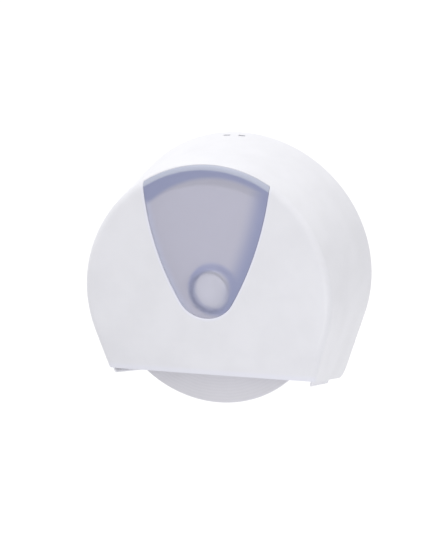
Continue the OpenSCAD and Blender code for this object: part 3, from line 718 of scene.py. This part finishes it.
comb_draft = math.atan((side_half_w(comb_y + along_step, comb_mid_z)
                        - side_half_w(comb_y - along_step, comb_mid_z)) / (2 * along_step))
comb_place = (Matrix.Translation((side_half_w(comb_y, comb_mid_z), comb_y, comb_mid_z))
              @ Matrix.Rotation(-comb_draft, 4, "Z") @ Matrix.Rotation(comb_lean, 4, "Y")
              @ Matrix.Translation((-cover_wall, 0, 0)))
comb_screws_at = [Vector((0, y, 0.6 * comb_up + y * -comb_slope)) for y in
                  (comb_screw_in - comb_l / 2, comb_l / 2 - comb_screw_in)]


def under_front(x, z, depth):
    """A point straight below the front, along its inward normal."""
    slope = math.atan(front_lean + (z - rise) / crown_r)
    return Vector((x, face_y(x, z) + depth * math.cos(slope), z - depth * math.sin(slope)))


def cover_features(bosses):
    """The lugs and bosses, or else the bores and slots that go through them and the wall."""
    bm = bmesh.new()
    lug_far = side_half_w(hinge_y, hinge_z - lug_r) - cover_wall / 2
    if bosses:
        rod(bm, (lug_x, hinge_y, hinge_z), (lug_far, hinge_y, hinge_z), lug_r, 72)
    else:
        rod(bm, (lug_x - past, hinge_y, hinge_z), (pin_high.x + pin_end_room, hinge_y, hinge_z),
            pin_r + pin_play, 72)
        block(bm, (slot_x[0], slot_y[0], slot_z - slot_reach), (slot_x[1], slot_y[1], slot_z + slot_reach))
    for x, z in window_screws_at:
        near, far = (boss_start, cover_wall + flange_t) if bosses else (blind_wall, bore_end)
        rod(bm, under_front(x, z, near), under_front(x, z, far), boss_r if bosses else pilot_r)
    for spot in comb_screws_at:
        near, far = ((comb_boss_start, comb_boss_end) if bosses
                     else (cover_wall - blind_wall, comb_bore_end))
        rod(bm, comb_place @ (spot + Vector((near, 0, 0))), comb_place @ (spot + Vector((far, 0, 0))),
            boss_r if bosses else pilot_r)
    bmesh.ops.mirror(bm, geom=bm.verts[:] + bm.edges[:] + bm.faces[:], axis="X", merge_dist=-1)
    bmesh.ops.recalc_face_normals(bm, faces=bm.faces)
    return bm


carve(cover_piece, cover_features(True), "UNION")
web_in = 0.002
web_half = 0.7 * lug_r
lug_webs = bmesh.new()
for side in (1, -1):
    top_z = hinge_z + lug_r
    corners = [(lug_x + web_in, top_z - web_in), (side_half_w(hinge_y, top_z) - cover_wall / 2, top_z),
               (side_half_w(hinge_y, hinge_z) - cover_wall / 2, hinge_z), (lug_x + web_in, hinge_z)]
    web = bmesh.ops.contextual_create(lug_webs, geom=[
        lug_webs.verts.new((side * x, hinge_y - web_half, z)) for x, z in corners])["faces"]
    grown = bmesh.ops.extrude_face_region(lug_webs, geom=web)["geom"]
    bmesh.ops.translate(lug_webs, vec=(0, 2 * web_half, 0),
                        verts=[part for part in grown if isinstance(part, bmesh.types.BMVert)])
bmesh.ops.recalc_face_normals(lug_webs, faces=lug_webs.faces)
carve(cover_piece, lug_webs, "UNION")
carve(cover_piece, cover_features(False), "DIFFERENCE")

# ---------- Window ----------
# Blue-grey frosted styrene pane in the shield opening, flush with the cover and wrapped over its top edge. It
# is one moulding with its flange, which is screwed on behind, and with its ring, which keeps the roll on.
pane_gap = 0.00025
pane_inset = 0.0005
pane_t = 0.0032
pane_rows = 44
pane_at = shield_loop(-pane_gap)
pane_edge = [pane_at(q) for q in spread((16, 50, 12, 1))][:-1]
bend_low, bend_length = 0.03, 0.06


def pane_point(column, row):
    """Row by row up the shield, each from the middle to its edge, in arcs about the crown near the top."""
    edge = pane_edge[column]
    out = math.hypot(edge.x, edge.y - rise) - inner_r
    across_share = min(1.0, row / pane_rows)
    turn = math.atan2(edge.x, edge.y - rise) * across_share
    flat = Vector((edge.x * across_share, edge.y))
    arc = on_ring(math.pi / 2 - turn, out)
    bend = min(1.0, max(0.0, (edge.y - bend_low) / bend_length))
    bend = bend * bend * (3 - 2 * bend)
    spot = flat.lerp(arc, bend)
    return under_skin(*spot, pane_inset)


window_bm = bmesh.new()
patch(window_bm, len(pane_edge) - 1, pane_rows, pane_point)
both_halves(window_bm)
bmesh.ops.solidify(window_bm, geom=window_bm.faces[:], thickness=pane_t)

# The pane's tint varies, nearly all of it painted light and shade: a pale painted glow before the hub's nose,
# where it is also clearer; bluer painted shade round the nose; darker painted shade above the roll and along
# the right edge; painted light along the left edge; and a denser grey where it goes over the cover's rounded
# edge, a painted highlight of the light from above.
plain_tint, nose_painted_glow_tint, left_painted_light_tint = [0.71, 0.705, 0.82, 1], [0.88, 0.88, 0.98, 1], [0.76, 0.78, 0.95, 1]
hub_painted_shade_tint, painted_shade_tint, fold_painted_highlight_tint = [0.40, 0.45, 0.74, 1], [0.40, 0.43, 0.635, 1], [0.54, 0.57, 0.69, 1]
roll_spot, nose_spot, round_nose_spot = (8, 20), (4, 5), (8, 8)
milk, milk_painted_shade, milk_painted_highlight, milk_nose = 0.50, 0.20, 0.20, 0.22
styrene_ior = 1.5
window_plastic = Finish("window_plastic", IOR=styrene_ior)
across, _, height = window_plastic.axes()


def spot_off(spot):
    """How far a point of the window is from a spot of its front, in millimetres."""
    return ((across - spot[0]) ** 2 + (height - spot[1]) ** 2) ** 0.5


edge_off = shield_distance(window_plastic)
crown_out = (across ** 2 + (height - 1000 * rise) ** 2) ** 0.5 - 1000 * inner_r
over_edge = crown_out.rise(-0.4, 1.4)
# Painted shade over the dark gap above the roll and along the right edge; painted light along the left edge.
gap_painted_shade = spot_off(roll_spot).rise(94.5, 100.5) * height.rise(86, 96)
right_painted_shade = edge_off.rise(-24.0, -3.0) * across.rise(8, 30)
painted_shade_band = gap_painted_shade.math("MAXIMUM", gap_painted_shade, right_painted_shade)
left_painted_light = edge_off.rise(-9.0, -1.0) * across.rise(-10, -28)
# A painted glow before the hub's nose, where the pane is also clearer; painted shade in a ring round it.
near_hub = spot_off(nose_spot).rise(25, 17)
ring_off = spot_off(round_nose_spot)
hub_painted_shade = ring_off.rise(16.0, 21) * ring_off.rise(29, 24) * 0.65
frost = window_plastic.noise(3, detail=4)
body = window_plastic.mix(near_hub, plain_tint, nose_painted_glow_tint)
for share, tint in ((left_painted_light, left_painted_light_tint), (hub_painted_shade, hub_painted_shade_tint), (painted_shade_band, painted_shade_tint),
                    (over_edge, fold_painted_highlight_tint)):
    body = window_plastic.mix(share, body, tint)
window_plastic.set(Base_Color=body, Roughness=0.32 + 0.12 * frost)
window_plastic.bump(window_plastic.noise(0.6, detail=1), 0.006)
blurred = window_plastic.node("BsdfRefraction", {"distribution": "GGX"}, {
    "Color": [0.98, 0.98, 1.0, 1], "Roughness": 0.3, "IOR": styrene_ior})
# The pane is more opaque in the painted shade and the painted highlight, and clearer before the nose.
milky = window_plastic.node("MixShader", inputs={
    0: milk + milk_painted_shade * painted_shade_band + milk_painted_highlight * over_edge - milk_nose * near_hub, 1: blurred,
    2: Wire(window_plastic, window_plastic.shader.outputs[0])})
lets_light_in = window_plastic.node("BsdfTransparent", inputs={"Color": [0.99, 0.99, 1.0, 1]})
for_lamps = window_plastic.node("LightPath", output="Is Shadow Ray")
window_plastic.plug(window_plastic.end.inputs["Surface"], window_plastic.node(
    "MixShader", inputs={0: for_lamps, 1: milky, 2: lets_light_in}))
new_piece("window_pane", window_bm, "cover_unit", "window_plastic", window_plastic, "window")

# The flange lies against the cover's inner wall, with an ear round each screw.
flange_low, flange_high, flange_rows = -0.0003, 0.006, 6
flange_gap, flange_ear_gap, flange_ear_r = 0.00005, 0.00008, 0.0047
flange_loops = [shield_loop(flange_low + (flange_high - flange_low) * k / flange_rows)
                for k in range(flange_rows + 1)]
flange_at = [q for q in spread((16, 50, 8, 1)) if q <= 3]


def flange_point(column, row):
    """A point under the cover's inner wall, from the opening's edge outward."""
    return under_skin(*flange_loops[row](flange_at[column]), cover_wall + flange_gap)


flange_bm = bmesh.new()
patch(flange_bm, len(flange_at) - 1, flange_rows, flange_point)
both_halves(flange_bm)
bmesh.ops.solidify(flange_bm, geom=flange_bm.faces[:], thickness=flange_t)
for x, z in window_screws_at:
    for side in (1, -1):
        rod(flange_bm, under_front(side * x, z, cover_wall + flange_ear_gap),
            under_front(side * x, z, cover_wall + flange_t - flange_ear_gap / 2), flange_ear_r)
new_piece("window_flange", flange_bm, "cover_unit", "window_plastic", window_plastic, "window")

# The ring stands out behind the pane and ends just before the hub's nose.
ring_outer_r, ring_wall, ring_soft = 0.0265, 0.0024, 0.0005
ring_inner_r = ring_outer_r - ring_wall
ring_front_y, ring_rear_y = -0.112, drum_front_y - 0.0052
ring_root = 0.0006
ring_bm = bmesh.new()
lathe(ring_bm, [(ring_outer_r, ring_front_y), (ring_outer_r, ring_rear_y - ring_soft),
                (ring_outer_r - ring_soft, ring_rear_y), (ring_inner_r + ring_soft, ring_rear_y),
                (ring_inner_r, ring_rear_y - ring_soft), (ring_inner_r, ring_front_y)], steps=128)
for vert in ring_bm.verts:
    if vert.co.y < ring_front_y + ring_soft:
        vert.co.y = face_y(vert.co.x, vert.co.z) + pane_inset + pane_t - ring_root
new_piece("window_ring", ring_bm, "cover_unit", "window_plastic", window_plastic, "window")

# ---------- Tear combs ----------
# Moulded grey-white toothed strips inside the lower sides, on which the sheet is torn off. Two screws hold each
# to bosses of the cover's wall.
comb_plastic = white_plastic("comb_plastic", srgb(240, 240, 245), 0.36, 0.005)
dress("tear_comb_left", comb_plastic)
dress("tear_comb_right", comb_plastic)

# ---------- Lock ----------
# White moulded housing, screwed to the plate below the crown. In it slides a pale grey acetal latch on a spring
# of bright drawn wire, and its two tongues stand in the cover's key slots, where the key presses them down.
dress("lock_housing", white_plastic("lock_white", srgb(228, 228, 234), 0.4, 0.005))
latch_grey = Finish("latch_grey", Specular_IOR_Level=0.45)
haze = latch_grey.noise(5, detail=3)
latch_grey.set(Base_Color=latch_grey.mix(haze, srgb(196, 199, 206), srgb(206, 208, 214)))
latch_grey.set(Roughness=0.38 + 0.1 * haze)
latch_grey.bump(latch_grey.noise(0.5), 0.006)
dress("latch_slider", latch_grey)

spring_low, spring_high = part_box("latch_spring")
wire_r, coil_turns = 0.00045, 5
coil_y = (spring_low.y + spring_high.y) / 2
coil_r = (spring_high.x - spring_low.x) / 2 - wire_r
spring_bm = bmesh.new()
wire_place = (Matrix.Translation((coil_r, coil_y, spring_low.z + wire_r))
              @ Matrix.Rotation(math.pi / 2, 4, "X"))
wire_end = bmesh.ops.create_circle(
    spring_bm, cap_ends=False, segments=12, radius=wire_r, matrix=wire_place)["verts"]
wire_edges = list({edge for vert in wire_end for edge in vert.link_edges})
coil_steps = 36 * coil_turns
bmesh.ops.contextual_create(spring_bm, geom=wire_edges)
bmesh.ops.spin(spring_bm, geom=wire_end + wire_edges, cent=(0, coil_y, 0), axis=(0, 0, 1),
               dvec=(0, 0, (spring_high.z - spring_low.z - 2 * wire_r) / coil_steps),
               angle=2 * math.pi * coil_turns, steps=coil_steps)
open_end = [edge for edge in spring_bm.edges if len(edge.link_faces) == 1]
bmesh.ops.contextual_create(spring_bm, geom=open_end)
bmesh.ops.recalc_face_normals(spring_bm, faces=spring_bm.faces)
spring_piece = new_piece("latch_spring_coil", spring_bm, "back_unit", "spring_steel",
                         steel("spring_wire", srgb(188, 190, 194), 0.25), "latch_spring")
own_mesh(spring_piece)
